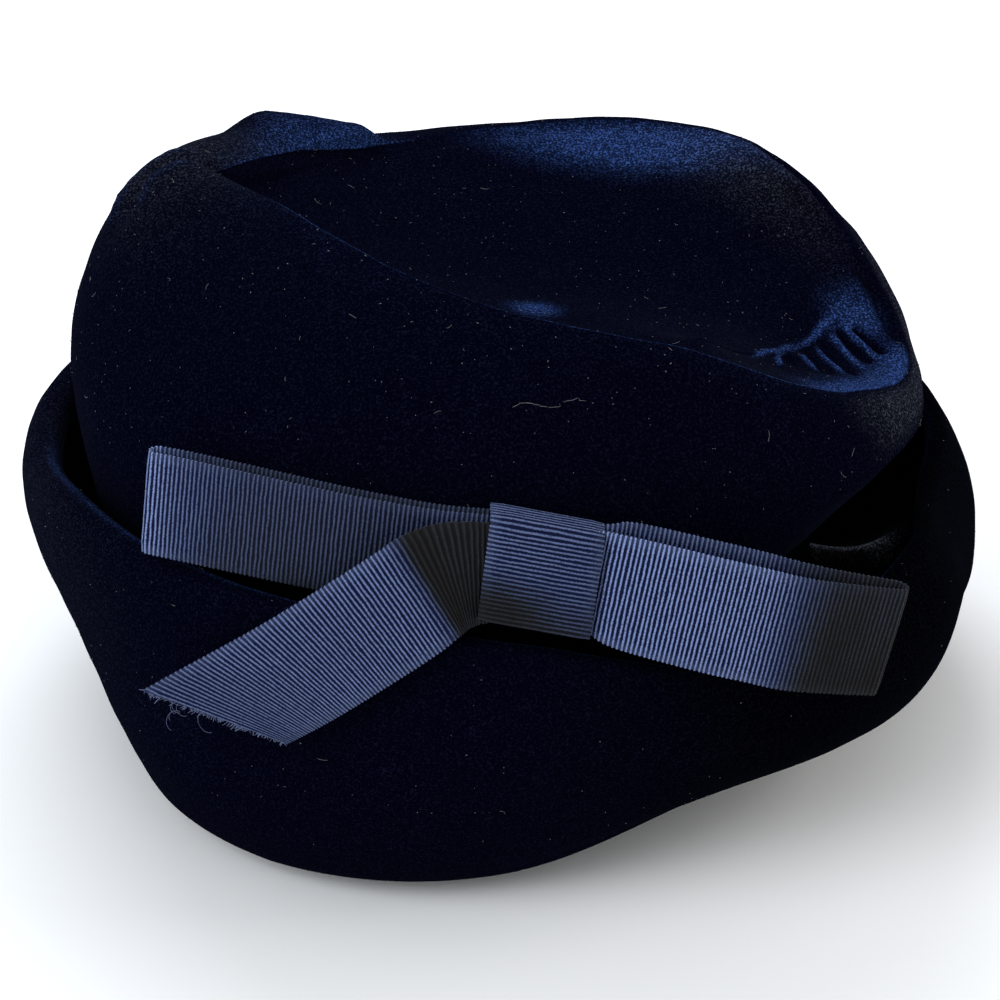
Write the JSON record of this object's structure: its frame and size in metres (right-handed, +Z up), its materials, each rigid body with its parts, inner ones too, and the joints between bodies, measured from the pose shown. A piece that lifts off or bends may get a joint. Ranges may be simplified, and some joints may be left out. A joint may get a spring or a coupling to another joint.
{
  "type": "velvet hat",
  "caption": "Soft velvet hat with a draped crown over a turned-up brim, a sunken gathered tip and a flat ribbed ribbon bow at the front.",
  "frame": {"origin": "under the middle of the whole hat, on the surface that its foot rests on", "axes": "+Z up, -Y towards the front with the bow, +X to the right as seen from the front"},
  "size_m": [0.2422, 0.2312, 0.1435],
  "materials": {
    "velvet": "dark navy velvet with a short dense pile",
    "ribbon": "slate blue ribbed ribbon, matt"
  },
  "bodies": {
    "root": {"brim": "velvet", "crown_side": "velvet", "crown_tip": "velvet", "bow_loop_left": "ribbon", "bow_loop_right": "ribbon", "bow_tail": "ribbon", "bow_knot": "ribbon"}
  },
  "joints": []
}
